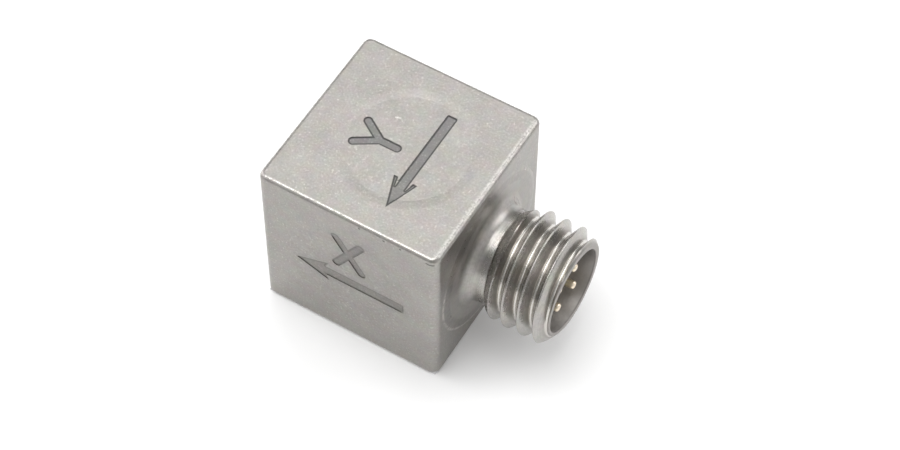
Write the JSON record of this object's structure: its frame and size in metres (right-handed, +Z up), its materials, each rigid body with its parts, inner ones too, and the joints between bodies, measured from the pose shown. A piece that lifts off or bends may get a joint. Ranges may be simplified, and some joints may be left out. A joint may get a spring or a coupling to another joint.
{
  "type": "vibration sensor",
  "caption": "Miniature three-axis vibration sensor: a welded metal cube with axis arrows, a threaded pin socket on one side and a tapped mounting hole underneath.",
  "frame": {"origin": "middle of the mounting face, at the mouth of the tapped hole", "axes": "+Z up out of the face with the Y arrow, square to the mounting face; +X out along the threaded socket; -Y out of the face with the X arrow"},
  "size_m": [0.0151, 0.0102, 0.0102],
  "materials": {
    "case_metal": "satin, tumbled and lightly blasted",
    "turned_metal": "turned, semi-bright",
    "seal_glass": "dark fused glass, satin",
    "pin_gold": "gold plated",
    "element_metal": "turned",
    "crystal_ceramic": "fired, matte",
    "mass_metal": "sintered, satin",
    "board_ceramic": "matte substrate",
    "chip_plastic": "moulded, matte",
    "lead_wire": "bare wire"
  },
  "bodies": {
    "root": {"amplifier_board": "board_ceramic", "contact_pin_1": "pin_gold", "contact_pin_2": "pin_gold", "contact_pin_3": "pin_gold", "contact_pin_4": "pin_gold", "front_cap": "case_metal", "housing": "case_metal", "pin_seal": "seal_glass", "socket_shell": "turned_metal", "top_cap": "case_metal", "x_amplifier_chip": "chip_plastic", "x_crystal": "crystal_ceramic", "x_lead": "lead_wire", "x_mass": "mass_metal", "x_post": "element_metal", "x_preload_ring": "element_metal", "y_amplifier_chip": "chip_plastic", "y_crystal": "crystal_ceramic", "y_lead": "lead_wire", "y_mass": "mass_metal", "y_post": "element_metal", "y_preload_ring": "element_metal", "z_amplifier_chip": "chip_plastic", "z_crystal": "crystal_ceramic", "z_lead": "lead_wire", "z_mass": "mass_metal", "z_post": "element_metal", "z_preload_ring": "element_metal"}
  },
  "joints": []
}
